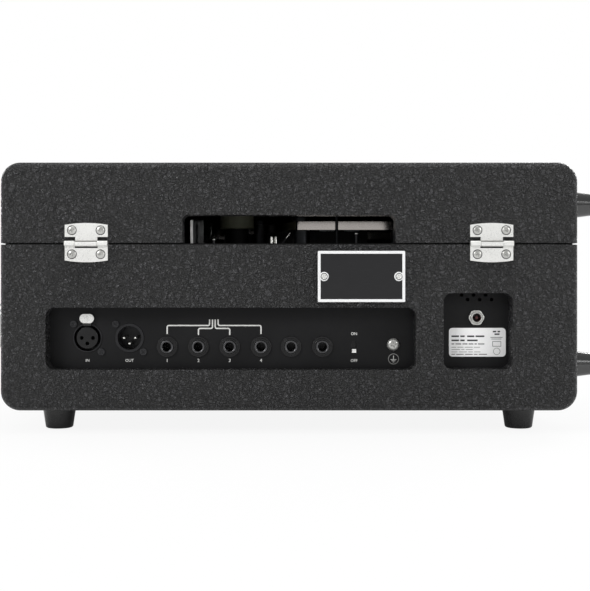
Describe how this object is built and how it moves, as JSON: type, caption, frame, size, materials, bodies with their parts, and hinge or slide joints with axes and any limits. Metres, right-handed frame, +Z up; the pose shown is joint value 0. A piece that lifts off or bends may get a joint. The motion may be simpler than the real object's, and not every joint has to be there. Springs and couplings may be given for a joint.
{
  "type": "tape echo unit",
  "caption": "Portable tape echo in a vinyl-covered case with a hinged lid, recessed rear sockets, front control panel and an internal tape deck.",
  "frame": {"origin": "on the ground, below the middle of the case", "axes": "+X to the handle end, +Y to the back with the sockets, +Z up; the control panel faces -Y"},
  "size_m": [0.4514, 0.2925, 0.1943],
  "materials": {
    "case_vinyl": "plywood under black leather-grain vinyl",
    "foot_rubber": "moulded black rubber",
    "nickel": "bright nickel plate on steel",
    "handle_leather": "black stitched leather",
    "panel_black": "matt black painted steel",
    "badge_metal": "dark enamel with a white border",
    "connector_black": "black die-cast zinc",
    "black_plastic": "moulded black plastic",
    "white_nylon": "white nylon slider",
    "latch_white": "bright steel tab",
    "contact_metal": "silver-plated brass",
    "pulley_brass": "turned brass",
    "label_white": "white foil label, bare",
    "panel_satin": "satin anodised aluminium",
    "screw_black": "black oxide steel",
    "zinc": "zinc-plated steel",
    "meter_cream": "cream dial in a moulded case",
    "clear_plastic": "clear acrylic",
    "deck_aluminium": "satin aluminium sheet",
    "head_steel": "ground and polished head cans",
    "motor_olive": "olive-grey painted can",
    "belt_rubber": "black rubber",
    "tape_brown": "brown oxide on polyester film",
    "board_green": "green laminate with its parts",
    "needle_black": "black painted pointer",
    "knob_black": "moulded black knob"
  },
  "bodies": {
    "base": {"base_case": "case_vinyl", "bottom_feet": "foot_rubber", "side_feet_base": "foot_rubber", "case_screws": "nickel", "handle_caps": "nickel", "handle_strap": "handle_leather", "hinge_base_leaves": "nickel", "hinge_pins": "nickel", "hinge_base_screws": "nickel", "badge_plate": "badge_metal", "rear_screws": "screw_black", "rear_panel": "panel_black", "xlr_in_housing": "connector_black", "xlr_in_insert": "black_plastic", "xlr_out_housing": "connector_black", "xlr_out_pins": "contact_metal", "jack_bodies": "black_plastic", "jack_nuts": "black_plastic", "slide_switch_body": "black_plastic", "ground_terminal": "nickel", "power_plate": "panel_black", "dc_jack": "black_plastic", "dc_jack_nut": "nickel", "rating_label": "label_white", "control_panel": "panel_satin", "panel_screws": "screw_black", "control_bodies": "zinc", "meter_case": "meter_cream", "meter_window": "clear_plastic", "deck_plate": "deck_aluminium", "head_block": "connector_black", "tape_heads": "head_steel", "motor": "motor_olive", "drive_belt": "belt_rubber", "guide_posts": "zinc", "tape_loop": "tape_brown", "tape_bin": "clear_plastic", "bin_cover": "clear_plastic", "main_board": "board_green", "lid_catches": "nickel"},
    "lid": {"lid_case": "case_vinyl", "side_feet_lid": "foot_rubber", "hinge_lid_leaves": "nickel", "hinge_lid_screws": "nickel", "lid_strikes": "nickel"},
    "xlr_latch": {"xlr_latch": "latch_white"},
    "slide_knob": {"slide_switch_knob": "white_nylon"},
    "toggle": {"toggle_lever": "nickel"},
    "needle": {"meter_needle": "needle_black"},
    "capstan": {"capstan_flywheel": "head_steel"},
    "pulley": {"motor_pulley": "pulley_brass"},
    "pinch_arm": {"pinch_arm": "zinc"},
    "pinch_roller": {"pinch_roller": "belt_rubber"},
    "input_volume_knob": {"input_volume_knob": "knob_black"},
    "mode_selector_knob": {"mode_selector_knob": "knob_black"},
    "bass_knob": {"bass_knob": "knob_black"},
    "treble_knob": {"treble_knob": "knob_black"},
    "repeat_rate_knob": {"repeat_rate_knob": "knob_black"},
    "intensity_knob": {"intensity_knob": "knob_black"},
    "echo_volume_knob": {"echo_volume_knob": "knob_black"}
  },
  "joints": [
    {"name": "lid_hinge", "type": "hinge", "parent": "base", "child": "lid", "pos_m": [0, 0.14455, 0.1359], "axis": [-1, 0, 0], "range_deg": [0, 100]},
    {"name": "inlet_latch_press", "type": "slide", "parent": "base", "child": "xlr_latch", "axis": [0, -1, 0], "range_m": [0, 0.0015], "stiffness_N_per_m": 500, "springref_m": -0.001},
    {"name": "slide_switch", "type": "slide", "parent": "base", "child": "slide_knob", "axis": [0, 0, 1], "range_m": [0, 0.005]},
    {"name": "power_toggle", "type": "hinge", "parent": "base", "child": "toggle", "pos_m": [0.156, -0.1265, 0.0639], "axis": [1, 0, 0], "range_deg": [0, 24]},
    {"name": "meter_needle", "type": "hinge", "parent": "base", "child": "needle", "pos_m": [-0.138, -0.125, 0.0829], "axis": [0, 1, 0], "range_deg": [0, 84], "stiffness_Nm_per_rad": 0.0004, "springref_deg": -28.65},
    {"name": "capstan_spin", "type": "hinge", "parent": "base", "child": "capstan", "pos_m": [-0.095, -0.05683, 0.1], "axis": [0, 0, 1], "continuous": true},
    {"name": "motor_spin", "type": "hinge", "parent": "base", "child": "pulley", "pos_m": [0.041, 0.06, 0.1], "axis": [0, 0, 1], "continuous": true},
    {"name": "pinch_arm_swing", "type": "hinge", "parent": "base", "child": "pinch_arm", "pos_m": [-0.06, -0.092, 0.141], "axis": [0, 0, -1], "range_deg": [0, 9], "stiffness_Nm_per_rad": 0.05, "springref_deg": -5.73},
    {"name": "pinch_roller_spin", "type": "hinge", "parent": "pinch_arm", "child": "pinch_roller", "pos_m": [-0.0981, -0.0752, 0.15], "axis": [0, 0, 1], "continuous": true},
    {"name": "input_volume_turn", "type": "hinge", "parent": "base", "child": "input_volume_knob", "pos_m": [-0.08, -0.135, 0.1039], "axis": [0, 1, 0], "range_deg": [-150, 150]},
    {"name": "mode_selector_turn", "type": "hinge", "parent": "base", "child": "mode_selector_knob", "pos_m": [-0.01, -0.135, 0.0839], "axis": [0, 1, 0], "range_deg": [-150, 150]},
    {"name": "bass_turn", "type": "hinge", "parent": "base", "child": "bass_knob", "pos_m": [0.062, -0.135, 0.1039], "axis": [0, 1, 0], "range_deg": [-150, 150]},
    {"name": "treble_turn", "type": "hinge", "parent": "base", "child": "treble_knob", "pos_m": [0.11, -0.135, 0.1039], "axis": [0, 1, 0], "range_deg": [-150, 150]},
    {"name": "repeat_rate_turn", "type": "hinge", "parent": "base", "child": "repeat_rate_knob", "pos_m": [0.062, -0.135, 0.0639], "axis": [0, 1, 0], "range_deg": [-150, 150]},
    {"name": "intensity_turn", "type": "hinge", "parent": "base", "child": "intensity_knob", "pos_m": [0.11, -0.135, 0.0639], "axis": [0, 1, 0], "range_deg": [-150, 150]},
    {"name": "echo_volume_turn", "type": "hinge", "parent": "base", "child": "echo_volume_knob", "pos_m": [0.156, -0.135, 0.1039], "axis": [0, 1, 0], "range_deg": [-150, 150]}
  ],
  "couplings": [
    {"joint": "motor_spin", "follows": "capstan_spin", "ratio": 5}
  ]
}
